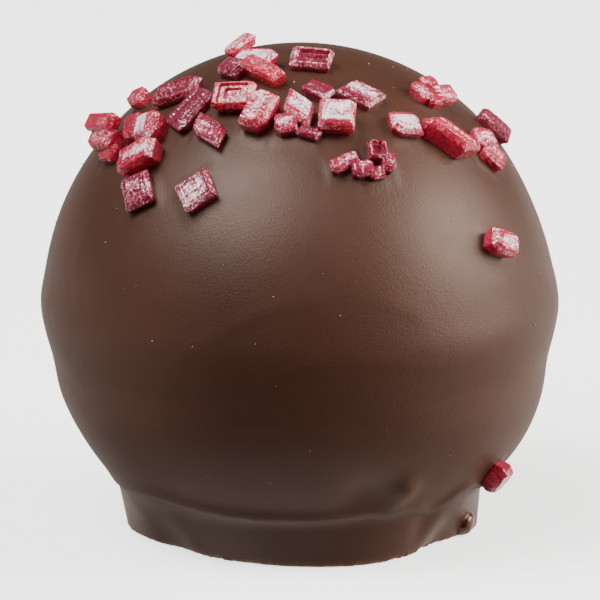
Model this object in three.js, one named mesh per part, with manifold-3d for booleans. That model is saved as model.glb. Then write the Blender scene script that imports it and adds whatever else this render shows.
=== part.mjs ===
// A chocolate truffle: a ball dipped in dark chocolate that has run down into a short foot,
// with candied sugar crystals strewn over its crown. All of it is fused into one solid.
//
// Millimetres, +Z up. The origin is the centre of the flat underside, and the side that carries
// most of the crystals faces -Y. A place on the ball is given as seen from the ball's centre:
// its turn is measured round from +X, anticlockwise from above, and its rise is measured up
// from level, both in degrees.

import * as THREE from 'three';
import { ConvexGeometry } from 'three/addons/geometries/ConvexGeometry.js';
import { mergeVertices } from 'three/addons/utils/BufferGeometryUtils.js';
import Module from 'manifold-3d';

const { degToRad, radToDeg } = THREE.MathUtils;

// Driving sizes

const ballRadius = 14.85;
const ballHeight = 13.4; // of the ball's centre above the table
const footRadius = 9.2; // of the foot's edge on the table
const creaseHeight = 3.3; // where the ball runs out on the foot
const creaseBlend = 0.3; // how gently it does so

const sides = 80; // facets round the truffle
const bands = [ // rows of facets from the crown down, closer where the form turns faster
  { to: 12, step: 6 },
  { to: -20, step: 2.9 },
  { to: -40, step: 4 },
  { to: -60, step: 1.5 },
];

// Waves that run right round the ball

const crown = { rise: 90, spread: 42, out: 0.2 }; // stands a little proud
const rings = [
  { rise: 1, spread: 5, out: 0.16 }, // the belt, where the coating is thickest
  { rise: -12, spread: 5.5, out: -0.2 }, // the groove below the belt
];
const smoothFront = { turn: -90, spread: 42, share: 0.65 }; // the share that they lose there

// Single swellings and dents in the coating

const swellings = [
  { turn: 0, rise: 24, spread: 17, out: -0.22 }, // flatter right shoulder
  { turn: -5, rise: -31, spread: 13, out: 0.3 }, // fuller right side, below the groove
  { turn: -61, rise: -34, spread: 3.4, out: 0.4 }, // a drip that hangs over the foot
  { turn: -63, rise: -39, spread: 3.2, out: 0.26 }, // its lower end
  { turn: -73, rise: -34, spread: 5, out: -0.22 }, // a dent beside it
  { turn: 175, rise: -36, spread: 16, out: -0.18 }, // leaner left side
];

// Where the foot's edge runs out or falls short, and where the crease above it climbs or dips

const edgeLobes = [
  { turn: 0, spread: 14, out: 1.1 },
  { turn: -32, spread: 10, out: -0.5 },
  { turn: -67, spread: 15, out: 0.35 },
  { turn: -115, spread: 18, out: -0.35 },
  { turn: -141, spread: 12, out: -0.6 },
  { turn: 180, spread: 16, out: 0.8 },
  { turn: 95, spread: 45, out: 0.6 },
];
const creaseLobes = [
  { turn: 0, spread: 25, out: -0.35 },
  { turn: -35, spread: 9, out: 0.6 },
  { turn: -46, spread: 6, out: -0.6 },
  { turn: -64, spread: 12, out: 0.2 },
  { turn: -138, spread: 20, out: 0.6 },
  { turn: 180, spread: 22, out: -0.3 },
];

// Crystals placed by hand. size is length, width and thickness. spin turns the length
// anticlockwise from level, pitch raises the end it points to, and roll raises its left side.
// lift is how high the middle stands over the ball. slant shears the outline, and cut takes
// that share off its two sharp corners.

const placedCrystals = [
  // pile at the left edge
  { turn: -162, rise: 44, lift: 1.5, size: [2.8, 1.1, 0.9], spin: 22, pitch: -6, roll: 25, slant: 0.5, cut: 0.2 },
  { turn: -161, rise: 42, lift: 0.65, size: [2.3, 1.5, 1.6], spin: 22, pitch: 4, roll: 15, slant: 0.2, cut: 0.3 },
  { turn: -154, rise: 47, lift: 0.35, size: [2.0, 1.1, 1.2], spin: 140, pitch: 0, roll: 10, slant: 0.1, cut: 0.25 },
  { turn: -144, rise: 48, lift: 0.6, size: [1.8, 1.6, 1.5], spin: 122, pitch: 4, roll: -10, slant: 0.15, cut: 0.25 },
  { turn: -157, rise: 40, lift: 0.3, size: [1.5, 1.2, 0.9], spin: 15, pitch: 0, roll: 10, slant: 0.2, cut: 0.25 },
  { turn: -140, rise: 41, lift: 0.7, size: [2.7, 1.4, 1.5], spin: 40, pitch: 4, roll: 12, slant: 0.45, cut: 0.2 },
  { turn: -136, rise: 34, lift: 0.3, size: [2.3, 2.0, 0.9], spin: -50, pitch: -4, roll: 0, slant: 0.1, cut: 0.1 },
  { turn: -118, rise: 36, lift: 0.3, size: [2.25, 2.05, 1.0], spin: 44, pitch: 0, roll: 0, slant: 0.12, cut: 0.1 },
  // upper left
  { turn: -172, rise: 53, lift: 0.35, size: [1.5, 1.2, 1.1], spin: 40, pitch: 0, roll: 10, slant: 0.2, cut: 0.3 },
  { turn: -151, rise: 59, lift: 0.35, size: [3.0, 1.3, 1.1], spin: 44, pitch: 0, roll: 20, slant: 0.5, cut: 0.2 },
  { turn: -136, rise: 56, lift: 0.2, size: [3.2, 1.8, 0.9], spin: 88, pitch: 0, roll: -5, slant: 0.25, cut: 0.15 },
  { turn: -122, rise: 51, lift: 0.3, size: [2.5, 1.4, 0.9], spin: -20, pitch: 0, roll: 0, slant: -0.35, cut: 0.2 },
  // the tall group at the front of the crown
  { turn: -118, rise: 60, lift: 0.65, size: [2.6, 1.7, 1.5], spin: 12, pitch: 0, roll: 25, slant: 0.1, cut: 0.12 },
  { turn: -105, rise: 56, lift: 0.6, size: [2.7, 1.6, 1.7], spin: 76, pitch: 8, roll: 0, slant: 0.05, cut: 0.3 },
  { turn: -135, rise: 70, lift: 0.35, size: [1.7, 1.3, 1.1], spin: 0, pitch: 0, roll: 15, slant: 0.2, cut: 0.2 },
  { turn: 173, rise: 77, lift: 0.4, size: [2.4, 1.0, 0.7], spin: 150, pitch: 10, roll: 0, slant: 0.3, cut: 0.25 },
  { turn: -125, rise: 74, lift: 0.6, size: [2.5, 1.3, 0.9], spin: 8, pitch: 0, roll: 10, slant: 0.3, cut: 0.2 },
  { turn: -113, rise: 70, lift: 0.6, size: [3.1, 1.1, 1.0], spin: -22, pitch: -5, roll: 15, slant: 0.4, cut: 0.2 },
  { turn: -80, rise: 76, lift: 0.35, size: [2.5, 1.6, 1.1], spin: -16, pitch: 0, roll: 18, slant: 0.1, cut: 0.08 },
  { turn: -90, rise: 58, lift: 0.4, size: [2.1, 1.5, 1.1], spin: -44, pitch: 0, roll: 10, slant: -0.5, cut: 0.1 },
  { turn: -81, rise: 64, lift: 0.3, size: [1.8, 1.2, 0.9], spin: -34, pitch: 0, roll: 0, slant: 0.2, cut: 0.2 },
  { turn: -95, rise: 54, lift: 0.3, size: [1.4, 1.4, 1.0], spin: 14, pitch: 0, roll: 0, slant: 0.2, cut: 0.3 },
  { turn: -87, rise: 52, lift: 0.2, size: [1.4, 0.8, 0.7], spin: -20, pitch: 0, roll: 0, slant: 0.3, cut: 0.2 },
  { turn: -77, rise: 55, lift: 0.6, size: [2.2, 2.0, 1.6], spin: -8, pitch: 0, roll: 15, slant: 0.05, cut: 0.1 },
  { turn: -61, rise: 62, lift: 0.25, size: [2.3, 1.8, 0.9], spin: -50, pitch: 0, roll: 0, slant: 0.3, cut: 0.12 },
  // front of the right shoulder
  { turn: -77, rise: 44, lift: 0.25, size: [1.9, 0.95, 0.8], spin: 23, pitch: 0, roll: 0, slant: 0.3, cut: 0.2 },
  { turn: -66, rise: 46, lift: 0.35, size: [1.3, 1.2, 1.0], spin: -98, pitch: 0, roll: 0, slant: 0.1, cut: 0.2 },
  { turn: -72, rise: 42, lift: 0.3, size: [1.4, 1.0, 0.9], spin: 10, pitch: 0, roll: 0, slant: 0.2, cut: 0.3 },
  { turn: -64, rise: 43, lift: 0.3, size: [1.3, 0.9, 0.9], spin: -99, pitch: 0, roll: 0, slant: 0.2, cut: 0.3 },
  { turn: -68, rise: 41, lift: 0.2, size: [1.1, 0.8, 0.7], spin: 5, pitch: 0, roll: 0, slant: 0.2, cut: 0.3 },
  { turn: -51, rise: 52, lift: 0.25, size: [1.95, 1.6, 1.0], spin: -13, pitch: 0, roll: 0, slant: 0.1, cut: 0.3 },
  { turn: -29, rise: 59, lift: 0.3, size: [1.5, 1.1, 0.9], spin: -100, pitch: 0, roll: 0, slant: 0.2, cut: 0.25 },
  { turn: -19, rise: 56, lift: 0.4, size: [1.6, 1.2, 1.1], spin: -14, pitch: 0, roll: 10, slant: 0.1, cut: 0.15 },
  { turn: -19, rise: 60, lift: 0.35, size: [1.1, 0.9, 1.0], spin: -23, pitch: 0, roll: 0, slant: 0.2, cut: 0.3 },
  { turn: -27, rise: 56, lift: 0.25, size: [1.0, 0.8, 0.8], spin: -18, pitch: 0, roll: 0, slant: 0.2, cut: 0.3 },
  { turn: -38, rise: 46, lift: 0.55, size: [3.3, 1.4, 1.3], spin: -58, pitch: 0, roll: -10, slant: 0.8, cut: 0.15 },
  { turn: -20, rise: 43, lift: 0.3, size: [1.9, 1.5, 0.9], spin: -23, pitch: 0, roll: 0, slant: 0.2, cut: 0.25 },
  { turn: -22, rise: 39, lift: 0.3, size: [1.7, 1.5, 0.9], spin: -60, pitch: 0, roll: 0, slant: 0.2, cut: 0.25 },
  { turn: 0, rise: 43, lift: 0.35, size: [2.8, 1.2, 0.9], spin: -60, pitch: 0, roll: 20, slant: 0.4, cut: 0.15 },
  // strays lower down
  { turn: -38, rise: 21, lift: 0.5, size: [2.1, 1.5, 1.4], spin: -22, pitch: 0, roll: 0, slant: 0.15, cut: 0.3 },
  { turn: -25, rise: -36, lift: 0.35, size: [1.9, 1.5, 1.4], spin: 100, pitch: 0, roll: 0, slant: 0.2, cut: 0.25 },
];

// The rest are strewn by rule over the far side, which faces +Y

const strewn = {
  count: 22,
  turn: [20, 160],
  rise: [20, 57],
  nearest: 0.5, // least share of the way towards +Y
  length: [1.5, 2.7],
  gap: 2, // least distance between the middles of two crystals
};

// Repeatable draws between two limits

let seed = 20117;
function draw(low, high) {
  seed = (seed * 16807) % 2147483647;
  return low + (high - low) * seed / 2147483647;
}

function direction(turn, rise) {
  const t = degToRad(turn);
  const r = degToRad(rise);
  return new THREE.Vector3(Math.cos(r) * Math.cos(t), Math.cos(r) * Math.sin(t), Math.sin(r));
}

// Falls from 1 at the middle of a feature towards 0 beyond its spread
function bell(distance, spread) {
  return Math.exp(-((distance / spread) ** 2));
}

function turnBetween(a, b) {
  return THREE.MathUtils.euclideanModulo(a - b + 180, 360) - 180;
}

// Distance from the ball's centre to its coating
function ballReach(turn, rise) {
  const way = direction(turn, rise);
  const kept = 1 - smoothFront.share * bell(turnBetween(turn, smoothFront.turn), smoothFront.spread);
  let reach = ballRadius + crown.out * bell(rise - crown.rise, crown.spread);
  for (const ring of rings) {
    reach += kept * ring.out * bell(rise - ring.rise, ring.spread);
  }
  for (const swelling of swellings) {
    const away = radToDeg(way.angleTo(direction(swelling.turn, swelling.rise)));
    reach += swelling.out * bell(away, swelling.spread);
  }
  return reach;
}

function lobed(size, lobes, turn) {
  return lobes.reduce((sum, lobe) => sum + lobe.out * bell(turnBetween(turn, lobe.turn), lobe.spread), size);
}

function footEdge(turn) {
  return lobed(footRadius, edgeLobes, turn);
}

// Distance from the ball's centre to the foot's wall, which leans out as it rises to the crease
function wallReach(turn, rise) {
  const r = degToRad(rise);
  const edge = footEdge(turn);
  const height = lobed(creaseHeight, creaseLobes, turn);
  const crease = Math.sqrt(ballRadius ** 2 - (ballHeight - height) ** 2);
  const lean = (crease - edge) / height;
  return Math.min((edge + lean * ballHeight) / (Math.cos(r) - lean * Math.sin(r)), crease / Math.cos(r));
}

// The coating follows the ball or the foot's wall, whichever lies further out
function coatingReach(turn, rise) {
  const ball = ballReach(turn, rise);
  if (rise >= 0) {
    return ball;
  }
  const wall = wallReach(turn, rise);
  const close = Math.max(creaseBlend - Math.abs(ball - wall), 0);
  return Math.max(ball, wall) + close ** 2 / (4 * creaseBlend);
}

function coatingSolid() {
  const edgeRise = -radToDeg(Math.atan2(ballHeight, footRadius));
  const profile = [new THREE.Vector2(0, 1)];
  let rise = 90;
  for (const band of bands) {
    while (rise - band.step > Math.max(band.to, edgeRise)) {
      rise -= band.step;
      profile.push(new THREE.Vector2(Math.cos(degToRad(rise)), Math.sin(degToRad(rise))));
    }
  }
  profile.push(new THREE.Vector2(Math.cos(degToRad(edgeRise)), Math.sin(degToRad(edgeRise))));
  profile.push(new THREE.Vector2(0, -1));
  const skin = new THREE.LatheGeometry(profile.reverse(), sides);
  skin.rotateX(Math.PI / 2);

  const at = skin.attributes.position;
  const point = new THREE.Vector3();
  for (let i = 0; i < at.count; i++) {
    point.fromBufferAttribute(at, i);
    const turn = radToDeg(Math.atan2(point.y, point.x));
    const level = radToDeg(Math.asin(THREE.MathUtils.clamp(point.z, -1, 1)));
    if (level < -89) {
      point.set(0, 0, 0);
    } else if (level < edgeRise + 0.01) {
      point.set(footEdge(turn) * Math.cos(degToRad(turn)), footEdge(turn) * Math.sin(degToRad(turn)), 0);
    } else {
      // below level the rows close up or open out, so that the last one meets the foot's edge
      const share = -radToDeg(Math.atan2(ballHeight, footEdge(turn))) / edgeRise;
      const seen = level < 0 ? level * share : level;
      point.copy(direction(turn, seen)).multiplyScalar(coatingReach(turn, seen));
      point.z += ballHeight;
    }
    at.setXYZ(i, point.x, point.y, point.z);
  }
  return skin;
}

// A slab with two corners cut off, widest a little above its middle
function crystalSolid({ size, slant, cut }) {
  const [length, width, thickness] = size;
  const levels = [
    { z: -0.5, share: 0.8 },
    { z: 0.2, share: 1 },
    { z: 0.5, share: 0.8 },
  ];
  const outline = [
    [-1 + 2 * cut, -1],
    [1, -1],
    [1, 1 - 2 * cut],
    [1 - 2 * cut, 1],
    [-1, 1],
    [-1, -1 + 2 * cut],
  ];
  const points = [];
  for (const { z, share } of levels) {
    for (const [x, y] of outline) {
      const rough = share * draw(0.92, 1.04);
      const across = (y * width * rough) / 2;
      const along = (x * length * rough) / 2 + slant * across;
      points.push(new THREE.Vector3(along, across, z * thickness));
    }
  }
  return new ConvexGeometry(points);
}

function seat(solid, { turn, rise, lift, spin, pitch, roll }) {
  const out = direction(turn, rise);
  const level = direction(turn + 90, 0);
  const uphill = new THREE.Vector3().crossVectors(out, level);
  const place = new THREE.Matrix4().makeBasis(level, uphill, out);
  const tilt = new THREE.Euler(degToRad(roll), -degToRad(pitch), degToRad(spin), 'ZYX');
  place.multiply(new THREE.Matrix4().makeRotationFromEuler(tilt));
  place.setPosition(out.multiplyScalar(ballReach(turn, rise) + lift).add(new THREE.Vector3(0, 0, ballHeight)));
  return solid.applyMatrix4(place);
}

function strewnCrystals() {
  const taken = placedCrystals.map(({ turn, rise }) => direction(turn, rise));
  const crystals = [];
  while (crystals.length < strewn.count) {
    const turn = draw(...strewn.turn);
    const rise = draw(...strewn.rise);
    const way = direction(turn, rise);
    const free = taken.every((other) => way.distanceTo(other) * ballRadius > strewn.gap);
    if (free && way.y > strewn.nearest) {
      taken.push(way);
      const length = draw(...strewn.length);
      const thickness = length * draw(0.35, 0.45);
      crystals.push({
        turn,
        rise,
        lift: 0.25 * thickness,
        size: [length, length * draw(0.6, 0.85), thickness],
        spin: draw(0, 360),
        pitch: draw(-10, 10),
        roll: draw(-10, 10),
        slant: draw(0, 0.5),
        cut: draw(0.1, 0.3),
      });
    }
  }
  return crystals;
}

// Joining

const wasm = await Module();
wasm.setup();

function toManifold(geometry) {
  const bare = geometry.clone();
  bare.deleteAttribute('normal');
  bare.deleteAttribute('uv');
  const merged = mergeVertices(bare);
  const corners = merged.index.array;
  const triangles = [];
  for (let i = 0; i < corners.length; i += 3) {
    const [a, b, c] = corners.slice(i, i + 3);
    if (a !== b && b !== c && c !== a) {
      triangles.push(a, b, c);
    }
  }
  return new wasm.Manifold(new wasm.Mesh({
    numProp: 3,
    vertProperties: merged.attributes.position.array,
    triVerts: new Uint32Array(triangles),
  }));
}

function toGeometry(solid) {
  const mesh = solid.getMesh();
  const geometry = new THREE.BufferGeometry();
  geometry.setAttribute('position', new THREE.BufferAttribute(mesh.vertProperties, mesh.numProp));
  geometry.setIndex(new THREE.BufferAttribute(mesh.triVerts, 1));
  geometry.computeVertexNormals();
  return geometry;
}

let whole = toManifold(coatingSolid());
for (const crystal of [...placedCrystals, ...strewnCrystals()]) {
  whole = whole.add(toManifold(seat(crystalSolid(crystal), crystal)));
}

const chocolate = new THREE.MeshStandardMaterial({ color: 0x4a2f22, roughness: 0.4, metalness: 0 });
const truffle = new THREE.Mesh(toGeometry(whole), chocolate);
truffle.name = 'truffle';

const object = new THREE.Group();
object.add(truffle);

export default object;
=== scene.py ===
import math
import bmesh
import bpy
import numpy as np
from mathutils import Euler, Matrix, Vector, noise


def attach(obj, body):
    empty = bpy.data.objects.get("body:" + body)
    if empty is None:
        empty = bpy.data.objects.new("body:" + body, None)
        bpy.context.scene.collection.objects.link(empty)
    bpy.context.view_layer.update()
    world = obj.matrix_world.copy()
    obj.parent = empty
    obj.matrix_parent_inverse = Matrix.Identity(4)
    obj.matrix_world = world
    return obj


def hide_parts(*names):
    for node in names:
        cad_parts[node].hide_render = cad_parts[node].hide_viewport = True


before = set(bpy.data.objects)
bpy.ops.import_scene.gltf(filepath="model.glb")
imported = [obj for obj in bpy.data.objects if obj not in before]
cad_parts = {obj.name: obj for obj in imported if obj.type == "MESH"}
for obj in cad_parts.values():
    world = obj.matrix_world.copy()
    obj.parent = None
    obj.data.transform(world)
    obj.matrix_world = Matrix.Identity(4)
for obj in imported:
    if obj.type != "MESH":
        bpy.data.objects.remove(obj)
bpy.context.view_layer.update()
scene = bpy.context.scene
mm = 0.001  # sizes below are in millimetres, angles in degrees

# A place on the ball is seen from its centre: turn runs round from +X, rise runs up from level.


def direction(turn, rise):
    t, r = math.radians(turn), math.radians(rise)
    return Vector((math.cos(r) * math.cos(t), math.cos(r) * math.sin(t), math.sin(r)))


def bell(distance, spread):  # 1 at the middle of a feature, towards 0 beyond its spread
    return np.exp(-((distance / spread) ** 2))


def ramp(value, low, high):  # eases from 0 at low to 1 at high
    share = np.clip((value - low) / (high - low), 0, 1)
    return share * share * (3 - 2 * share)


drawState = 20117
drawFactor, drawPrime = 16807, 2147483647


def draw(low, high):  # repeatable draws, the same ones that laid out the solid
    global drawState
    drawState = drawState * drawFactor % drawPrime
    return low + (high - low) * drawState / drawPrime


# camera

view = {
    "rise": 13.5,  # looks down by this much, towards +Y
    "distance": 400,
    "lens": 414.5,
    "sensor": 36,
    "clip": (0.01, 20),  # in metres
    "aim": 0.116,  # above the ball's centre
}


def addCamera(centre):
    r = math.radians(view["rise"])
    up, back = Vector((0, math.sin(r), math.cos(r))), Vector((0, -math.cos(r), math.sin(r)))
    data = bpy.data.cameras.new("camera")
    data.lens = view["lens"]
    data.sensor_width = view["sensor"]
    data.clip_start, data.clip_end = view["clip"]
    camera = bpy.data.objects.new("camera", data)
    camera.location = (centre + up * view["aim"] + back * view["distance"]) * mm
    camera.rotation_euler = (math.radians(90) - r, 0, 0)
    scene.collection.objects.link(camera)
    scene.camera = camera


# shader building


def addNode(tree, kind, inputs=None, **settings):
    node = tree.nodes.new(kind)
    for name, value in settings.items():
        setattr(node, name, value)
    for name, value in (inputs or {}).items():
        if isinstance(value, bpy.types.NodeSocket):
            tree.links.new(value, node.inputs[name])
        else:
            node.inputs[name].default_value = value
    return node


def maths(tree, operation, first, second=0.0, third=0.0):
    return addNode(tree, "ShaderNodeMath", {0: first, 1: second, 2: third}, operation=operation).outputs[0]


def product(tree, first, second):
    return maths(tree, "MULTIPLY", first, second)


def between(tree, value, low, high, toLow=0.0, toHigh=1.0):  # eases value from low..high to toLow..toHigh
    inputs = {"Value": value, "From Min": low, "From Max": high, "To Min": toLow, "To Max": toHigh}
    return addNode(tree, "ShaderNodeMapRange", inputs, interpolation_type="SMOOTHSTEP").outputs["Result"]


def mixColour(tree, share, first, second):
    node = addNode(tree, "ShaderNodeMix", data_type="RGBA")
    for socket, value in zip((node.inputs[0], node.inputs[6], node.inputs[7]), (share, first, second)):
        if isinstance(value, bpy.types.NodeSocket):
            tree.links.new(value, socket)
        else:
            socket.default_value = value
    return node.outputs[2]


def noiseValue(tree, place, scale, detail=2.0, roughness=0.5):
    inputs = {"Vector": place, "Scale": scale, "Detail": detail, "Roughness": roughness}
    return addNode(tree, "ShaderNodeTexNoise", inputs).outputs["Fac"]


def newGroup(name, inputs, outputs):
    group = bpy.data.node_groups.new(name, "ShaderNodeTree")
    for socket, kind in inputs:
        group.interface.new_socket(socket, in_out="INPUT", socket_type="NodeSocket" + kind)
    for socket, kind in outputs:
        group.interface.new_socket(socket, in_out="OUTPUT", socket_type="NodeSocket" + kind)
    return group, group.nodes.new("NodeGroupInput").outputs, group.nodes.new("NodeGroupOutput").inputs


def grainGroup():  # fine grain on broader swells, as a height to bump with
    inputs = [("Vector", "Vector"), ("Grain", "Float"), ("Swell", "Float"), ("Swell Share", "Float")]
    group, given, put = newGroup("surfaceGrain", inputs, [("Height", "Float")])
    fine = noiseValue(group, given["Vector"], given["Grain"], 2.0, 0.6)
    broad = noiseValue(group, given["Vector"], given["Swell"], 1.0)
    group.links.new(maths(group, "MULTIPLY_ADD", broad, given["Swell Share"], fine), put["Height"])
    return group


surfaceGrain = grainGroup()


def newMaterial(name):
    material = bpy.data.materials.new(name)
    material.use_nodes = True
    tree = material.node_tree
    tree.nodes.clear()
    shader = addNode(tree, "ShaderNodeBsdfPrincipled")
    output = addNode(tree, "ShaderNodeOutputMaterial")
    tree.links.new(shader.outputs[0], output.inputs[0])
    return material, tree, shader


def placeOf(tree):
    return addNode(tree, "ShaderNodeTexCoord").outputs["Object"]


def attributeOf(tree, name, output="Fac"):
    return addNode(tree, "ShaderNodeAttribute", attribute_name=name).outputs[output]


def setSockets(node, values):
    for name, value in values.items():
        node.inputs[name].default_value = value


def addPiece(name, bm, material, smooth):
    mesh = bpy.data.meshes.new(name)
    bm.to_mesh(mesh)
    bm.free()
    mesh.materials.append(material)
    mesh.polygons.foreach_set("use_smooth", [smooth] * len(mesh.polygons))
    piece = bpy.data.objects.new(name, mesh)
    scene.collection.objects.link(piece)
    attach(piece, "root")
    print(name, len(mesh.vertices), "vertices", len(mesh.polygons), "faces")
    return piece


# the coating: a ball dipped in chocolate that has run down into a short foot

coating = {
    "ballRadius": 14.85,
    "ballHeight": 13.4,  # of its centre above the table
    "crown": (90, 42, 0.2),  # rise, spread, out
    "rings": [
        (1, 5, 0.16),
        (-12, 5.5, -0.2),
    ],
    "smoothFront": (-90, 42, 0.65),  # turn, spread and the share of the rings that is lost there
    "swellings": [  # turn, rise, spread, out
        (0, 24, 17, -0.22),
        (-5, -31, 13, 0.3),
        (-61, -34, 3.4, 0.4),
        (-63, -39, 3.2, 0.26),
        (-73, -34, 5, -0.22),
        (175, -36, 16, -0.18),
    ],
    "footRadius": 9.2,  # of the foot's edge on the table
    "creaseHeight": 3.3,  # where the ball runs out on the foot
    "creaseBlend": 0.3,  # how gently it does so
    "edgeLobes": [  # turn, spread, out
        (0, 14, 1.1),
        (-32, 10, -0.5),
        (-67, 15, 0.35),
        (-115, 18, -0.35),
        (-141, 12, -0.6),
        (180, 16, 0.8),
        (95, 45, 0.6),
    ],
    "creaseLobes": [
        (0, 25, -0.35),
        (-35, 9, 0.6),
        (-46, 6, -0.6),
        (-64, 12, 0.2),
        (-138, 20, 0.6),
        (180, 22, -0.3),
    ],
    "lip": (0.12, 0.5, 0.14),  # out, reach above and reach below of the coating's lip over the foot
    "lipLobes": [(-95, 38, 0.15), (-38, 18, 0.12), (60, 25, 0.1), (150, 20, 0.08)],
    "lipRise": 0.13,  # how far it is moved up from the line where the ball runs out on the foot
    "lipRiseLobes": [(-15, 35, 0.4), (-180, 20, 0.22)],
    "edgeBlend": 0.3,  # rounds the edge on the table
    "sides": 440,
    "quickSides": 160,
    "bands": [  # down to this rise, in steps of this much
        (12, 1.5),
        (-16, 0.8),
        (-47, 0.7),
        (-58, 0.25),
        (-89, 4),
    ],
    "swirls": [  # start, middle and end of a faint ridge, its half width and its height
        ((-124, -7), (-102, 9.4), (-81.2, 14.2), 0.42, 0.022),
        ((-81.2, 14.2), (-68.8, 11.8), (-60.7, 6.9), 0.5, 0.016),
        ((-99.8, -9.8), (-94.7, -3), (-81.4, 0.2), 0.32, 0.018),
        ((-81.4, 0.2), (-68.1, -1.1), (-58.3, -3.8), 0.4, 0.016),
        ((-87.8, -10.7), (-79.1, -10.3), (-67.7, -10.2), 0.25, 0.014),
        ((-60.9, -3), (-51.7, -2), (-41.1, -0.5), 0.6, 0.02),
        ((-160, -10.2), (-125, -13.6), (-86, -14.6), 0.45, 0.035),
        ((-92, -14.7), (-66, -14), (-38, -10.8), 0.45, 0.03),
        ((-152, 28.5), (-152.3, 15.7), (-146.4, 3.6), 0.4, 0.014),
        ((160, -8), (130, 12), (100, 5), 0.5, 0.02),
        ((95, 10), (60, 18), (25, 2), 0.5, 0.02),
        ((120, -10), (90, -4), (60, -12), 0.4, 0.016),
        ((20, -6), (0, 6), (-20, -4), 0.5, 0.016),
    ],
    "swirlPoints": 40,  # along each
    "swirlFade": 0.15,  # share of its length in which each end fades
    "bead": (-13, 0.68, 0.75, 0.5, -46),  # turn, height, half width and out of a drop, and its way
    "ragged": 0.3,  # how far the foot's edge frays
    "jags": (22, 45),  # how close its coarse and its fine jags are
    "frayHeight": 0.22,  # how far up it frays
    "frayLeast": 0.15,  # share of it that goes all round
    "fraying": [(-40, 22, 0.9), (-125, 14, 0.6), (70, 30, 0.7), (160, 15, 0.5)],  # turn, spread, share
    "fillet": (0.3, 0.08),  # reach and height of the coating that climbs a crystal
    "deep": (0.044, 0.0158, 0.009, 1),
    "light": (0.052, 0.019, 0.0112, 1),
    "clouds": 160.0,  # per metre, between the deep and the light colour
    "paintedEdgeGlow": (0.085, 0.024, 0.011, 1),  # painted glow where the thin edge on the table lets light through
    "paintedEdgeGlowHeight": 0.0007,  # in metres
    "roughness": 0.46,
    "footRoughness": 0.34,
    "footBelow": (0.004, 0.0015),  # in metres, from the ball's roughness to the foot's
    "beadRoughness": 0.2,
    "unevenness": (420.0, 0.1),  # of the roughness: per metre, and how much
    "shine": 0.5,
    "footShine": 0.34,  # the table lies in shadow below the lip
    "shadeBelow": (0.0032, 0.0024),  # in metres
    "beadShine": 0.8,
    "shineTint": (1, 0.82, 0.73, 1),
    "refraction": 1.46,
    "grain": 8000.0,  # per metre, like the swell
    "swell": 650.0,
    "swellShare": 0.6,
    "bump": 0.000014,
}
centre = Vector((0, 0, coating["ballHeight"]))
addCamera(centre)


def lobed(size, lobes, turn):
    for at, spread, out in lobes:
        size = size + out * bell((turn - at + 180) % 360 - 180, spread)
    return size


def waysOf(turn, rise):
    t, r = np.radians(turn), np.radians(rise)
    return np.stack([np.cos(r) * np.cos(t), np.cos(r) * np.sin(t), np.sin(r)], axis=-1)


def awayFrom(ways, turn, rise):  # angle between each way and one place
    return np.degrees(np.arccos(np.clip(ways @ np.array(direction(turn, rise)), -1, 1)))


def ballReach(turn, rise):
    ways = waysOf(turn, rise)
    reach = np.full(np.shape(rise), float(coating["ballRadius"]))
    at, spread, out = coating["crown"]
    reach = reach + out * bell(rise - at, spread)
    front, spread, share = coating["smoothFront"]
    kept = 1 - share * bell((turn - front + 180) % 360 - 180, spread)
    for at, spread, out in coating["rings"]:
        reach = reach + kept * out * bell(rise - at, spread)
    for at, height, spread, out in coating["swellings"]:
        reach = reach + out * bell(awayFrom(ways, at, height), spread)
    return reach


def footEdge(turn):
    return lobed(coating["footRadius"], coating["edgeLobes"], turn)


def wallReach(turn, rise):
    r = np.radians(rise)
    edge = footEdge(turn)
    height = lobed(coating["creaseHeight"], coating["creaseLobes"], turn)
    crease = np.sqrt(coating["ballRadius"] ** 2 - (coating["ballHeight"] - height) ** 2)
    lean = (crease - edge) / height
    wall = (edge + lean * coating["ballHeight"]) / (np.cos(r) - lean * np.sin(r))
    return np.minimum(wall, crease / np.cos(r))


def softer(first, second, blend, side):  # the larger (side 1) or smaller (-1) of two, run together
    close = np.maximum(blend - np.abs(first - second), 0)
    chosen = np.maximum(first, second) if side > 0 else np.minimum(first, second)
    return chosen + side * close ** 2 / (4 * blend)


def coatingReach(turn, rise):
    reach = ballReach(turn, rise)
    walled = (rise < 0) & (rise > -89)  # straight down, the wall has no reach
    wall = np.where(walled, wallReach(turn, np.where(walled, rise, -45)), 0)
    out, above, below = coating["lip"]
    past = wall - reach + lobed(coating["lipRise"], coating["lipRiseLobes"], turn)
    lip = lobed(out, coating["lipLobes"], turn) * bell(past, np.where(past < 0, above, below))
    reach = softer(reach, wall, coating["creaseBlend"], 1) + np.where(walled, lip, 0)
    table = coating["ballHeight"] / np.maximum(-np.sin(np.radians(rise)), 0.05)
    return softer(reach, table, coating["edgeBlend"], -1)


def swirlHeight(ways):
    height = np.zeros(len(ways))
    faded = coating["swirlFade"]
    for start, middle, end, width, out in coating["swirls"]:
        a, m, b = (np.array(direction(*place)) for place in (start, middle, end))
        bend = 2 * m - (a + b) / 2
        steps = np.linspace(0, 1, coating["swirlPoints"])[:, None]
        line = (1 - steps) ** 2 * a + 2 * steps * (1 - steps) * bend + steps ** 2 * b
        near = np.full(len(ways), np.inf)
        share = np.zeros(len(ways))
        for step, point in zip(steps[:, 0], line / np.linalg.norm(line, axis=1)[:, None]):
            away = np.linalg.norm(ways - point, axis=1)
            share = np.where(away < near, step, share)
            near = np.minimum(near, away)
        fade = ramp(share, 0, faded) * (1 - ramp(share, 1 - faded, 1))
        height += out * fade * bell(near * coating["ballRadius"], width)
    return height


# crystals of candied sugar: pitch raises the end that the length points to, roll its left side,
# slant shears the outline, cut takes off two corners, tone runs from dark to pale, white is the
# share of the top that is frosted and painted with glare (a painted highlight), and top is how it grew

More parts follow.
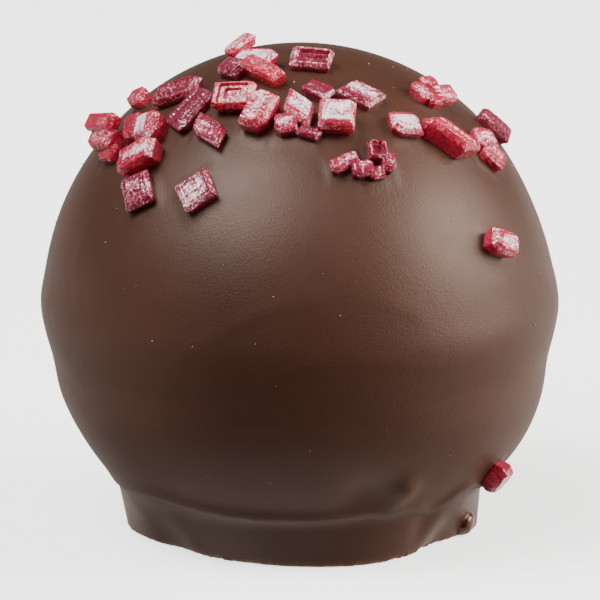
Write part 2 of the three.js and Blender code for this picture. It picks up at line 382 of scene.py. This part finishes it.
crystals = {
    # turn, rise, lift, (length, width, thickness), spin, pitch, roll, slant, cut, tone, white, top
    "placed": [
        (-162, 44, 1.5, (2.8, 1.1, 0.9), 22, -6, 25, 0.5, 0.2, 0.6, 0.4, "plain"),
        (-161, 42, 0.65, (2.3, 1.5, 1.6), 22, 4, 15, 0.2, 0.3, 0.6, 0.5, "plain"),
        (-154, 47, 0.35, (2.0, 1.1, 1.2), 140, 0, 10, 0.1, 0.25, 0.45, 0.3, "plain"),
        (-144, 48, 0.6, (1.8, 1.6, 1.5), 122, 4, -10, 0.15, 0.25, 0.5, 0.8, "terraced"),
        (-157, 40, 0.3, (1.5, 1.2, 0.9), 15, 0, 10, 0.2, 0.25, 0.5, 0.2, "plain"),
        (-140, 41, 0.7, (2.7, 1.4, 1.5), 40, 4, 12, 0.45, 0.2, 0.5, 0.7, "striped"),
        (-136, 34, 0.3, (2.3, 2.0, 0.9), -50, -4, 0, 0.1, 0.1, 0.15, 0.5, "terraced"),
        (-118, 36, 0.3, (2.25, 2.05, 1.0), 44, 0, 0, 0.12, 0.1, 0.12, 0.6, "terraced"),
        (-172, 53, 0.35, (1.5, 1.2, 1.1), 40, 0, 10, 0.2, 0.3, 0.5, 0.3, "plain"),
        (-151, 59, 0.35, (3.0, 1.3, 1.1), 44, 0, 20, 0.5, 0.2, 0.18, 0.25, "striped"),
        (-136, 56, 0.2, (3.2, 1.8, 0.9), 88, 0, -5, 0.25, 0.15, 0.0, 0.25, "striped"),
        (-122, 51, 0.3, (2.5, 1.4, 0.9), -20, 0, 0, -0.35, 0.2, 0.25, 0.45, "terraced"),
        (-118, 60, 0.65, (2.6, 1.7, 1.5), 12, 0, 25, 0.1, 0.12, 0.5, 0.42, "hollow"),
        (-105, 56, 0.6, (2.7, 1.6, 1.7), 76, 8, 0, 0.05, 0.3, 0.5, 0.62, "plain"),
        (-135, 70, 0.35, (1.7, 1.3, 1.1), 0, 0, 15, 0.2, 0.2, 0.1, 0.3, "plain"),
        (173, 77, 0.4, (2.4, 1.0, 0.7), 150, 10, 0, 0.3, 0.25, 0.5, 0.75, "plain"),
        (-125, 74, 0.6, (2.5, 1.3, 0.9), 8, 0, 10, 0.3, 0.2, 0.5, 0.95, "plain"),
        (-113, 70, 0.6, (3.1, 1.1, 1.0), -22, -5, 15, 0.4, 0.2, 0.5, 0.35, "plain"),
        (-80, 76, 0.35, (2.5, 1.6, 1.1), -16, 0, 18, 0.1, 0.08, 0.15, 0.7, "hollow"),
        (-90, 58, 0.4, (2.1, 1.5, 1.1), -44, 0, 10, -0.5, 0.1, 0.45, 0.8, "plain"),
        (-81, 64, 0.3, (1.8, 1.2, 0.9), -34, 0, 0, 0.2, 0.2, 0.05, 0.4, "plain"),
        (-95, 54, 0.3, (1.4, 1.4, 1.0), 14, 0, 0, 0.2, 0.3, 0.35, 0.6, "terraced"),
        (-87, 52, 0.2, (1.4, 0.8, 0.7), -20, 0, 0, 0.3, 0.2, 0.15, 0.4, "plain"),
        (-77, 55, 0.6, (2.2, 2.0, 1.6), -8, 0, 15, 0.05, 0.1, 0.65, 0.78, "terraced"),
        (-61, 62, 0.25, (2.3, 1.8, 0.9), -50, 0, 0, 0.3, 0.12, 0.15, 0.7, "striped"),
        (-77, 44, 0.25, (1.9, 0.95, 0.8), 23, 0, 0, 0.3, 0.2, 0.25, 0.5, "plain"),
        (-66, 46, 0.35, (1.3, 1.2, 1.0), -98, 0, 0, 0.1, 0.2, 0.15, 0.5, "hollow"),
        (-72, 42, 0.3, (1.4, 1.0, 0.9), 10, 0, 0, 0.2, 0.3, 0.2, 0.4, "plain"),
        (-64, 43, 0.3, (1.3, 0.9, 0.9), -99, 0, 0, 0.2, 0.3, 0.2, 0.4, "plain"),
        (-68, 41, 0.2, (1.1, 0.8, 0.7), 5, 0, 0, 0.2, 0.3, 0.3, 0.4, "plain"),
        (-51, 52, 0.25, (1.95, 1.6, 1.0), -13, 0, 0, 0.1, 0.3, 0.6, 0.85, "terraced"),
        (-29, 59, 0.3, (1.5, 1.1, 0.9), -100, 0, 0, 0.2, 0.25, 0.4, 0.5, "plain"),
        (-19, 56, 0.4, (1.6, 1.2, 1.1), -14, 0, 10, 0.1, 0.15, 0.7, 0.7, "plain"),
        (-19, 60, 0.35, (1.1, 0.9, 1.0), -23, 0, 0, 0.2, 0.3, 0.45, 0.4, "plain"),
        (-27, 56, 0.25, (1.0, 0.8, 0.8), -18, 0, 0, 0.2, 0.3, 0.6, 0.2, "plain"),
        (-38, 46, 0.55, (3.3, 1.4, 1.3), -58, 0, -10, 0.8, 0.15, 0.6, 0.3, "striped"),
        (-20, 43, 0.3, (1.9, 1.5, 0.9), -23, 0, 0, 0.2, 0.25, 0.6, 0.6, "terraced"),
        (-22, 39, 0.3, (1.7, 1.5, 0.9), -60, 0, 0, 0.2, 0.25, 0.7, 0.55, "plain"),
        (0, 43, 0.35, (2.8, 1.2, 0.9), -60, 0, 20, 0.4, 0.15, 0.15, 0.15, "plain"),
        (-38, 21, 0.5, (2.1, 1.5, 1.4), -22, 0, 0, 0.15, 0.3, 0.6, 0.6, "terraced"),
        (-25, -36, 0.35, (1.9, 1.5, 1.4), 100, 0, 0, 0.2, 0.25, 0.35, 0.8, "plain"),
    ],
    "strewnCount": 22,  # over the far side
    "strewnTurn": (20, 160),
    "strewnRise": (20, 57),
    "strewnNearest": 0.5,
    "strewnGap": 2,
    "strewnLength": (1.5, 2.7),
    "strewnThickness": (0.35, 0.45),  # as shares of the length, like the width
    "strewnWidth": (0.6, 0.85),
    "strewnLift": 0.25,  # share of the thickness
    "strewnTilt": (-10, 10),
    "strewnSlant": (0, 0.5),
    "strewnCut": (0.1, 0.3),
    "strewnTone": (0.37, 0.8),  # goes up by this much from one to the next, and starts again here
    "strewnWhite": (0.23, 0.9),
    "levels": [(-0.5, 0.8), (0.2, 1), (0.5, 0.8)],  # height and share of the outline
    "seed": 41,
    "uneven": (0.92, 1.04),  # what each corner's reach is drawn from
    "chamfer": 0.035,
    "cell": 0.11,  # spacing of the fine relief
    "quickCell": 0.4,
    "snap": 0.004,  # a cut this close to a corner runs through it
    "relief": (8, 0.016),  # the fine relief's bumps per millimetre and their height
    "apart": 50,  # how far apart the crystals lie in the noise that shapes and colours them
    "step": 0.07,  # height of a growth step
    "growths": {  # heights of the first part that stands on the top, and of the one within it
        "plain": (0.6, 0),
        "terraced": (0.9, 0.9),
        "striped": (0.8, 0),
        "hollow": (-3.2, -2.4),
    },
    "window": (0.66, 0.34),  # half sizes of the steps, as shares of the outline
    "margin": 0.9,  # stripes and ledges end here
    "offCentre": 0.12,
    "stripes": (7, 3),  # their closeness, and how far the first one is moved
    "sideFrostAndGlare": 0.05,
    "shoulderFrostAndGlare": (0.3, 0.3),  # at least, and for a wholly white crystal this much more
    "frostAndGlareTop": (0.3, 0.65),  # half size of the part with frost and painted glare, in the same way
    "bareTop": 0.3,  # share of the frost and painted glare that the rest of the top has
    "raisedTop": 1.15,
    "hollowFloor": -0.5,
    "dark": (0.32, 0.03, 0.075, 1),
    "red": (0.86, 0.036, 0.1, 1),
    "pale": (0.9, 0.13, 0.21, 1),
    "plum": (0.3, 0.02, 0.06, 1),  # painted shade deep in the middle of a face, away from its lit edges, and the colour of veins
    "lit": (0.95, 0.1, 0.17, 1),  # where a face's edges let light through
    "bloom": (0.7, 0.3, 0.38, 1),  # fine pale grains
    # painted highlight: this white stands partly for frost and partly for glare off the tops
    "frostAndGlareColour": (0.97, 0.84, 0.88, 1),
    "drawnOut": (0.65, 1.4, 1.2),  # squeezes streaks and patches along length, width and height
    "streak": (5.0, 0.8),  # per millimetre, and weight in the frost, like the next
    "patch": (1.8, 1.3),
    "mottle": 1500.0,  # per metre, like the next two
    "grain": 8000.0,
    "facet": 5200.0,
    "facetDepth": 0.000035,
    "bloomFrom": (0.25, 0.65),  # of the frost and painted glare
    "whiteFrom": (0.62, 1.02),
    "roughness": 0.08,
    "frostRoughness": 0.3,
    "clear": (0.45, 0.1),  # share of the light let through, bare and frosted
    "refraction": 1.54,
    "scatter": 0.5,
    "scatterColour": (1.0, 0.12, 0.2),
    "scatterDepth": 0.0009,  # in metres
    "glaze": (0.35, 0.06),  # weight and roughness
}


def layOutCrystals():
    names = "turn rise lift size spin pitch roll slant cut tone white top".split()
    laid = [dict(zip(names, row)) for row in crystals["placed"]]
    taken = [direction(item["turn"], item["rise"]) for item in laid]
    while len(laid) < len(crystals["placed"]) + crystals["strewnCount"]:
        turn = draw(*crystals["strewnTurn"])
        rise = draw(*crystals["strewnRise"])
        way = direction(turn, rise)
        nearest = min((way - other).length for other in taken) * coating["ballRadius"]
        if nearest > crystals["strewnGap"] and way.y > crystals["strewnNearest"]:
            taken.append(way)
            length = draw(*crystals["strewnLength"])
            thickness = length * draw(*crystals["strewnThickness"])
            size = (length, length * draw(*crystals["strewnWidth"]), thickness)
            row = [turn, rise, crystals["strewnLift"] * thickness, size, draw(0, 360)]
            for name in ("strewnTilt", "strewnTilt", "strewnSlant", "strewnCut"):
                row.append(draw(*crystals[name]))
            for step, end in (crystals["strewnTone"], crystals["strewnWhite"]):
                row.append((len(laid) * step) % end)
            row.append(tuple(crystals["growths"])[len(laid) % 4])
            laid.append(dict(zip(names, row)))
    for item in laid:
        out, level = direction(item["turn"], item["rise"]), direction(item["turn"] + 90, 0)
        basis = Matrix((level, out.cross(level), out)).transposed()
        tilt = Euler((math.radians(item["roll"]), -math.radians(item["pitch"]), math.radians(item["spin"])))
        item["turned"] = basis @ tilt.to_matrix()
        reach = float(ballReach(np.array(item["turn"]), np.array(item["rise"]))) + item["lift"]
        item["middle"] = centre + out * reach
    return laid


laidCrystals = layOutCrystals()
print("crystals laid out", len(laidCrystals))


def filletHeight(places):  # the coating creeps up where a crystal is sunk in it
    height = np.zeros(len(places))
    reach, out = coating["fillet"]
    side = 0.45  # share of the outline at which a crystal's side is taken to stand
    for item in laidCrystals:
        length, width, thickness = item["size"]
        away = places - np.array(item["middle"])
        near = np.nonzero(np.abs(away).max(axis=1) < length)[0]
        own = away[near] @ np.array(item["turned"])
        across = np.maximum(np.abs(own[:, 1]) - side * width, 0)
        along = np.maximum(np.abs(own[:, 0] - item["slant"] * own[:, 1]) - side * length, 0)
        level = own[:, 2] / thickness
        sunk = ramp(level, -0.55, -0.35) * (1 - ramp(level, 0.1, 0.5))  # none below it, none at its top
        height[near] = np.maximum(height[near], out * sunk * bell(np.hypot(along, across), reach))
    return height


def frayAt(turn):  # how far the foot's edge stands out or falls short, in small jags
    around = direction(turn, 0)
    coarse, fine = coating["jags"]
    jag = noise.noise(around * coarse) + 0.5 * noise.cell(around * fine) - 0.25
    share = coating["frayLeast"] + float(lobed(0, coating["fraying"], np.array(turn)))
    return coating["ragged"] * jag * share


def dropShare(places, turn):  # 1 at the middle of the drop on the foot, 0 from its edge on
    beadTurn, height, width = coating["bead"][:3]
    degrees = 6  # that weigh as much as a millimetre
    miss = np.abs(turn - beadTurn) / degrees + np.abs(places[:, 2] - height)
    away = np.linalg.norm(places - places[np.argmin(miss)], axis=1)
    return np.sqrt(np.maximum(1 - (away / width) ** 2, 0))


def frayed(places, turn):  # how much further out each place on the foot's edge stands, as a factor
    sampled = np.arange(-180, 180, 0.5)
    fray = np.interp(turn, sampled, [frayAt(at) for at in sampled], period=360)
    across = np.hypot(places[:, 0], places[:, 1])
    fray *= bell(places[:, 2], coating["frayHeight"]) * np.clip(across / footEdge(turn), 0, 1) ** 12
    return 1 + fray / np.maximum(across, 1)


def shapeCoating(bm):
    edgeRise = -math.degrees(math.atan2(coating["ballHeight"], coating["footRadius"]))
    units = np.array([v.co for v in bm.verts])
    turn = np.degrees(np.arctan2(units[:, 1], units[:, 0]))
    rise = np.degrees(np.arcsin(np.clip(units[:, 2], -1, 1)))
    edge = -np.degrees(np.arctan2(coating["ballHeight"], footEdge(turn)))
    wall = rise * edge / edgeRise  # the rows are moved so that one of them runs along the foot's edge
    under = edge + (rise - edgeRise) * (-90 - edge) / (-90 - edgeRise)
    rise = np.where(rise >= 0, rise, np.where(rise > edgeRise, wall, under))
    ways = waysOf(turn, rise)
    reach = coatingReach(turn, rise) + swirlHeight(ways)
    places = ways * reach[:, None] + np.array(centre)
    places += ways * filletHeight(places)[:, None]
    drop = dropShare(places, turn)
    out, facing = coating["bead"][3:]
    places += np.array(direction(facing, 0)) * (out * drop)[:, None]
    places[:, :2] *= frayed(places, turn)[:, None]
    places[:, 2] = np.maximum(places[:, 2], 0)
    gloss = bm.verts.layers.float.new("gloss")
    for vert, place, shine in zip(bm.verts, places * mm, drop):
        vert.co = place
        vert[gloss] = shine


def makeCoating():
    bm = bmesh.new()
    rise = 90.0
    rows = [rise]
    for low, step in coating["bands"]:
        while rise - step >= low:
            rise -= step
            rows.append(rise)
    line = [bm.verts.new(direction(0, rise)) for rise in rows + [-90]]
    edges = [bm.edges.new(pair) for pair in zip(line, line[1:])]
    sides = coating["sides"]
    bmesh.ops.spin(
        bm, geom=line + edges, cent=(0, 0, 0), axis=(0, 0, 1), angle=math.tau, steps=sides, use_merge=True
    )
    bmesh.ops.remove_doubles(bm, verts=bm.verts, dist=1e-5)
    bmesh.ops.recalc_face_normals(bm, faces=bm.faces)
    shapeCoating(bm)
    bmesh.ops.triangulate(bm, faces=[face for face in bm.faces if len(face.verts) > 4])
    piece = addPiece("chocolateCoating", bm, chocolateMaterial(), True)
    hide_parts("truffle")


def chocolateMaterial():
    material, tree, shader = newMaterial("darkChocolate")
    place = placeOf(tree)
    height = addNode(tree, "ShaderNodeSeparateXYZ", {"Vector": place}).outputs["Z"]
    gloss = attributeOf(tree, "gloss")

    def onBead(value, beadValue):
        return between(tree, gloss, 0.0, 0.4, value, beadValue)

    clouds = between(tree, noiseValue(tree, place, coating["clouds"], 3.0), 0.3, 0.7)
    colour = mixColour(tree, clouds, coating["deep"], coating["light"])
    # painted glow: the base colour turns redder near the table, standing in for light through the thin edge
    paintedEdgeGlow = between(tree, height, coating["paintedEdgeGlowHeight"], 0.0)
    tree.links.new(mixColour(tree, paintedEdgeGlow, colour, coating["paintedEdgeGlow"]), shader.inputs["Base Color"])
    shine = between(tree, height, *coating["shadeBelow"], coating["shine"], coating["footShine"])
    tree.links.new(onBead(shine, coating["beadShine"]), shader.inputs["Specular IOR Level"])
    rough = between(tree, height, *coating["footBelow"], coating["roughness"], coating["footRoughness"])
    scale, share = coating["unevenness"]
    uneven = maths(tree, "MULTIPLY_ADD", noiseValue(tree, place, scale), share, -share / 2)
    rough = maths(tree, "ADD", rough, uneven)
    tree.links.new(onBead(rough, coating["beadRoughness"]), shader.inputs["Roughness"])
    grain = addNode(tree, "ShaderNodeGroup", node_tree=surfaceGrain)
    tree.links.new(place, grain.inputs["Vector"])
    setSockets(grain, {
        "Grain": coating["grain"],
        "Swell": coating["swell"],
        "Swell Share": coating["swellShare"],
    })
    inputs = {"Height": grain.outputs["Height"], "Strength": 1.0, "Distance": coating["bump"]}
    bump = addNode(tree, "ShaderNodeBump", inputs)
    tree.links.new(bump.outputs[0], shader.inputs["Normal"])
    setSockets(shader, {"IOR": coating["refraction"], "Specular Tint": coating["shineTint"]})
    return material


makeCoating()


def growth(item, u, v, shift):  # height of a crystal's top in growth steps, over its outline's shares
    outer, inner = crystals["window"]
    first, second = crystals["growths"][item["top"]]
    u, v = u + shift.x * crystals["offCentre"], v + shift.y * crystals["offCentre"]
    ring = max(abs(u), abs(v))
    if item["top"] == "hollow":
        return first * (ring < outer) + second * (ring < inner)
    if item["top"] == "terraced":
        return first * (ring < outer) + second * (max(abs(u + 0.2), abs(v - 0.1)) < inner)
    if item["top"] == "striped":
        close, start = crystals["stripes"]
        return first * (math.sin(v * close + shift.z * start) > 0.1) * (ring < crystals["margin"])
    return first * (u + 0.6 * shift.x > 0.3) * (ring < crystals["margin"])


def frostAndGlareOn(item, up, u, v, shift):  # how much frost and painted glare a face has, from how far it looks up and where it lies
    white = item["white"]
    if up <= 0.3:
        return crystals["sideFrostAndGlare"]
    if up <= 0.7:
        least, more = crystals["shoulderFrostAndGlare"]
        return least + more * white
    step = growth(item, u, v, shift)
    if item["top"] == "hollow":  # a clear floor in a rim of frost and painted glare
        return white if step == 0 else white + crystals["hollowFloor"]
    least, more = crystals["frostAndGlareTop"]
    half = least + more * white
    inside = abs(u - 0.3 * shift.y) < half and abs(v - 0.3 * shift.z) < half * 0.75
    top = white if inside else crystals["bareTop"] * white
    return top * crystals["raisedTop"] if step > 0 else top


def crystalRelief(bm, item):
    length, width, thickness = item["size"]
    tone, frostAndGlare = bm.faces.layers.float["tone"], bm.faces.layers.float["frostAndGlare"]
    own, rim = bm.verts.layers.float_vector["own"], bm.verts.layers.float["rim"]
    shift = noise.random_vector()
    away = shift * crystals["apart"]
    perMillimetre, height = crystals["relief"]

    def shares(place):
        return (place.x - item["slant"] * place.y) / (length / 2), place.y / (width / 2)

    for face in bm.faces:
        face[tone] = item["tone"]
        face[frostAndGlare] = frostAndGlareOn(item, face.normal.z, *shares(face.calc_center_median()), shift)
    for vert in bm.verts:
        place = vert.co.copy()
        move = noise.noise_vector((place + away) * perMillimetre) * height
        if place.z > 0.47 * thickness:  # on the top
            move.z += crystals["step"] * growth(item, *shares(place), shift)
        near = [abs(share) for share in shares(place)] + [abs(place.z) * 2 / thickness]
        vert[rim] = sorted(near)[1]  # the second largest, which is 1 only where two sides meet
        vert[own] = place + away
        vert.co += move


def sliceCrystal(bm, item):
    length, width, thickness = item["size"]
    cell = crystals["cell"]
    reach = length / 2 + abs(item["slant"]) * width / 2
    past = 0.55  # half of a side, and a little past it
    spans = [((1, -item["slant"], 0), reach), ((0, 1, 0), width * past), ((0, 0, 1), thickness * past)]
    for way, half in spans:
        for step in range(int(-half / cell), int(half / cell) + 1):
            at = Vector(way).normalized() * (step + 0.5) * cell
            geom = bm.verts[:] + bm.edges[:] + bm.faces[:]
            bmesh.ops.bisect_plane(bm, geom=geom, dist=crystals["snap"], plane_co=at, plane_no=way)


def addLayers(bm):
    bm.faces.layers.float.new("tone")
    bm.faces.layers.float.new("frostAndGlare")
    bm.verts.layers.float_vector.new("own")  # place in the crystal itself
    bm.verts.layers.float.new("rim")  # 1 at the crystal's edges


def makeCrystal(item):  # a slab with two corners cut off, widest a little above its middle
    length, width, thickness = item["size"]
    slant, cut = item["slant"], item["cut"]
    outline = [(-1 + 2 * cut, -1), (1, -1), (1, 1 - 2 * cut), (1 - 2 * cut, 1), (-1, 1), (-1, -1 + 2 * cut)]
    bm = bmesh.new()
    addLayers(bm)
    for z, share in crystals["levels"]:
        for x, y in outline:
            reach = share * draw(*crystals["uneven"])
            across = y * width * reach / 2
            bm.verts.new((x * length * reach / 2 + slant * across, across, z * thickness))
    bmesh.ops.convex_hull(bm, input=bm.verts)
    spare = [v for v in bm.verts if not v.link_faces]
    bmesh.ops.delete(bm, geom=spare, context="VERTS")
    bmesh.ops.dissolve_limit(bm, angle_limit=math.radians(3), verts=bm.verts, edges=bm.edges)
    bmesh.ops.bevel(
        bm, geom=bm.edges[:], offset=crystals["chamfer"], affect="EDGES", segments=1, profile=0.5,
        material=-1, clamp_overlap=True,
    )
    sliceCrystal(bm, item)
    bmesh.ops.triangulate(bm, faces=[face for face in bm.faces if len(face.verts) > 4])
    bm.normal_update()
    crystalRelief(bm, item)
    place = Matrix.Translation(item["middle"]) @ item["turned"].to_4x4()
    bm.transform(Matrix.Scale(mm, 4) @ place)
    return bm


def makeCrystals():
    noise.seed_set(crystals["seed"])
    whole = bmesh.new()
    addLayers(whole)
    for item in laidCrystals:
        one = makeCrystal(item)
        mesh = bpy.data.meshes.new("crystal")
        one.to_mesh(mesh)
        one.free()
        whole.from_mesh(mesh)
        bpy.data.meshes.remove(mesh)
    piece = addPiece("sugarCrystals", whole, crystalMaterial(), False)
    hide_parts("truffle")


def sugarBody(tree, tone, rim, mottle, streak):  # dark to pale, with painted shade deeper inside and painted light at the edges
    body = mixColour(tree, between(tree, tone, 0.05, 0.5), crystals["dark"], crystals["red"])
    body = mixColour(tree, between(tree, tone, 0.55, 0.95), body, crystals["pale"])
    # painted shade: darker away from the edges, in the middle of each face, broken up by mottle
    deep = product(tree, between(tree, rim, 0.95, 0.5), mottle)
    deep = product(tree, deep, between(tree, tone, 0.8, 0.1, 0.25, 1.0))
    veins = between(tree, streak, 0.52, 0.36, 0.0, 0.75)
    body = mixColour(tree, maths(tree, "MAXIMUM", deep, veins), body, crystals["plum"])
    lit = product(tree, between(tree, rim, 0.8, 1.0), between(tree, tone, 0.1, 0.5, 0.12, 0.6))
    return mixColour(tree, lit, body, crystals["lit"])


def sugarCover(tree, frostAndGlare, patch, streak, grains):  # frost and painted glare broken up by patches, streaks and grains
    cover = frostAndGlare
    for part, weight in ((patch, crystals["patch"][1]), (streak, crystals["streak"][1])):
        cover = maths(tree, "ADD", cover, maths(tree, "MULTIPLY_ADD", part, weight, -weight / 2))
    speckle = between(tree, frostAndGlare, 0.05, 0.3, 0.2, 1.5)
    return maths(tree, "ADD", cover, product(tree, maths(tree, "SUBTRACT", grains, 0.5), speckle))


def crystalMaterial():
    material, tree, shader = newMaterial("candiedSugar")
    place, own = placeOf(tree), attributeOf(tree, "own", "Vector")
    frostAndGlare, tone, rim = (attributeOf(tree, name) for name in ("frostAndGlare", "tone", "rim"))
    drawn = addNode(tree, "ShaderNodeVectorMath", {0: own, 1: crystals["drawnOut"]}, operation="MULTIPLY")
    streak = noiseValue(tree, drawn.outputs[0], crystals["streak"][0], 2.0, 0.6)
    patch = noiseValue(tree, drawn.outputs[0], crystals["patch"][0], 1.0)
    mottle = between(tree, noiseValue(tree, place, crystals["mottle"], 2.0), 0.4, 0.6)
    grains = noiseValue(tree, place, crystals["grain"], 1.0, 0.6)
    body = sugarBody(tree, tone, rim, mottle, streak)
    cover = sugarCover(tree, frostAndGlare, patch, streak, grains)
    bloom = between(tree, cover, *crystals["bloomFrom"])
    grey = product(tree, bloom, between(tree, grains, 0.35, 0.6, 0.15, 0.6))
    grey = product(tree, grey, between(tree, tone, 0.0, 0.3, 0.6, 1.0))
    body = mixColour(tree, grey, body, crystals["bloom"])
    # painted highlight: high cover turns the base colour white, partly frost and partly glare off the tops
    white = between(tree, cover, *crystals["whiteFrom"])
    tree.links.new(mixColour(tree, white, body, crystals["frostAndGlareColour"]), shader.inputs["Base Color"])
    rough = between(tree, white, 0.0, 1.0, crystals["roughness"], crystals["frostRoughness"])
    tree.links.new(rough, shader.inputs["Roughness"])
    clear = between(tree, maths(tree, "MAXIMUM", white, bloom), 0.0, 1.0, *crystals["clear"])
    tree.links.new(clear, shader.inputs["Transmission Weight"])
    facets = addNode(tree, "ShaderNodeTexVoronoi", {"Vector": place, "Scale": crystals["facet"]})
    inputs = {"Height": facets.outputs["Distance"], "Strength": 1.0, "Distance": crystals["facetDepth"]}
    bump = addNode(tree, "ShaderNodeBump", inputs)
    for socket in ("Normal", "Coat Normal"):
        tree.links.new(bump.outputs[0], shader.inputs[socket])
    glaze, glazeRoughness = crystals["glaze"]
    setSockets(shader, {
        "IOR": crystals["refraction"],
        "Subsurface Weight": crystals["scatter"],
        "Subsurface Radius": crystals["scatterColour"],
        "Subsurface Scale": crystals["scatterDepth"],
        "Coat Weight": glaze,
        "Coat Roughness": glazeRoughness,
    })
    return material


makeCrystals()


# specks of sugar and dust that cling to the coating

dust = {
    "count": 150,
    "size": (0.03, 0.075),
    "lowSize": 0.6,  # share of it below the middle
    "lowest": -0.6,  # share of the ball's radius
    "proud": 0.2,  # share of its size that its middle stands above the coating
    "mottle": 300.0,  # per metre
    "seed": 5,
    "colour": (0.3, 0.2, 0.16, 1),
    "redColour": (0.32, 0.12, 0.13, 1),
}


def makeDust():
    rng = np.random.default_rng(dust["seed"])
    bm = bmesh.new()
    for _ in range(dust["count"]):
        turn = rng.uniform(-180, 180)
        rise = math.degrees(math.asin(rng.uniform(dust["lowest"], 1)))
        size = rng.uniform(*dust["size"]) * (dust["lowSize"] if rise < 0 else 1)
        reach = float(coatingReach(np.array(turn), np.array(rise)))
        made = bmesh.ops.create_cube(bm, size=size)
        lean = Euler(rng.uniform(0, math.tau, 3)).to_matrix().to_4x4()
        reach += size * dust["proud"]
        place = Matrix.Translation(centre + direction(turn, rise) * reach) @ lean
        bmesh.ops.transform(bm, matrix=Matrix.Scale(mm, 4) @ place, verts=made["verts"])
    material, tree, shader = newMaterial("sugarDust")
    red = between(tree, noiseValue(tree, placeOf(tree), dust["mottle"]), 0.4, 0.6)
    colour = mixColour(tree, red, dust["colour"], dust["redColour"])
    tree.links.new(colour, shader.inputs["Base Color"])
    setSockets(shader, {"Roughness": 0.4, "Subsurface Weight": 0.3, "Subsurface Scale": 0.0002})
    piece = addPiece("sugarDust", bm, material, False)
    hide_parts("truffle")


makeDust()


# table, lights and surroundings

studio = {
    "floor": (0.86, 0.86, 0.85, 1),
    "floorRadius": 3,  # in metres
    "floorGlow": 1.8,
    "backdrop": (2.4, 2.4, 2.4, 1),  # seen by the camera alone
    "boxes": [  # name, turn and rise of the way to it, distance, width, height, brightness, colour
        ("leftBox", -142, 56, 0.7, 0.64, 0.56, 5.4, (1, 0.99, 1)),
        ("leftCore", -139, 57, 0.69, 0.26, 0.22, 19.0, (1, 1, 1)),
        ("rightBox", -6, 24, 0.7, 0.6, 0.56, 9.2, (1, 0.94, 0.87)),
        ("rightCore", -8, 28, 0.69, 0.24, 0.22, 12.0, (1, 0.94, 0.87)),
    ],
    "left": 0.95,  # pale room at the sides and behind, down to the table
    "right": 1.6,
    "leftToRight": (-0.7, 0.9),  # where one runs into the other, seen from its middle
    "front": 0.0,
    "frontToBack": (-0.75, -0.2),
    "above": 0.15,
    "levelToAbove": (-0.1, 0.2),
    "low": 0.38,  # share of it that is left near the table
    "levelToLow": (-0.35, -0.68),
    "below": 1.2,
    "lowToBelow": (-0.72, -0.88),
    "warmth": (1, 0.9, 0.82, 1),
}


def addFloor():
    bm = bmesh.new()
    bmesh.ops.create_circle(bm, cap_ends=True, radius=studio["floorRadius"], segments=96)
    mesh = bpy.data.meshes.new("table")
    bm.to_mesh(mesh)
    bm.free()
    floor = bpy.data.objects.new("table", mesh)
    scene.collection.objects.link(floor)
    material, _, shader = newMaterial("paleTable")
    setSockets(shader, {
        "Base Color": studio["floor"],
        "Roughness": 0.8,
        "Specular IOR Level": 0.1,
        "Emission Color": (1, 1, 1, 1),
        "Emission Strength": studio["floorGlow"],
    })
    mesh.materials.append(material)
    floor.visible_glossy = False  # the world below stands in for it, more softly
    floor.visible_diffuse = False
    floor.visible_transmission = False


def addBoxes():
    for name, turn, rise, distance, width, height, brightness, colour in studio["boxes"]:
        light = bpy.data.lights.new(name, "AREA")
        light.shape = "RECTANGLE"
        light.size = width
        light.size_y = height
        light.energy = math.pi * width * height * brightness
        light.color = colour
        lamp = bpy.data.objects.new(name, light)
        way = direction(turn, rise)
        lamp.location = centre * mm + way * distance
        lamp.rotation_euler = way.to_track_quat("Z", "Y").to_euler()
        scene.collection.objects.link(lamp)


def towards(tree, share, first, second):
    kept = product(tree, first, maths(tree, "SUBTRACT", 1.0, share))
    return maths(tree, "ADD", kept, product(tree, share, second))


def addWorld():
    world = bpy.data.worlds.new("studio")
    world.use_nodes = True
    world.cycles.sampling_method = "NONE"  # so that the table doesn't cut off what lies below it
    tree = world.node_tree
    tree.nodes.clear()
    way = addNode(tree, "ShaderNodeTexCoord").outputs["Generated"]
    parts = addNode(tree, "ShaderNodeSeparateXYZ", {"Vector": way}).outputs
    around = between(tree, parts["X"], *studio["leftToRight"], studio["left"], studio["right"])
    level = between(tree, parts["Y"], *studio["frontToBack"], studio["front"], around)
    level = towards(tree, between(tree, parts["Z"], *studio["levelToAbove"]), level, studio["above"])
    level = product(tree, level, between(tree, parts["Z"], *studio["levelToLow"], 1.0, studio["low"]))
    level = towards(tree, between(tree, parts["Z"], *studio["lowToBelow"]), level, studio["below"])
    lit = addNode(tree, "ShaderNodeBackground", {"Color": studio["warmth"], "Strength": level})
    seen = addNode(tree, "ShaderNodeBackground", {"Color": studio["backdrop"]})
    ray = addNode(tree, "ShaderNodeLightPath").outputs["Is Camera Ray"]
    mixed = addNode(tree, "ShaderNodeMixShader", {0: ray, 1: lit.outputs[0], 2: seen.outputs[0]})
    output = addNode(tree, "ShaderNodeOutputWorld")
    tree.links.new(mixed.outputs[0], output.inputs[0])
    scene.world = world


addFloor()
addBoxes()
addWorld()
print("table and lights")

bpy.context.view_layer.update()
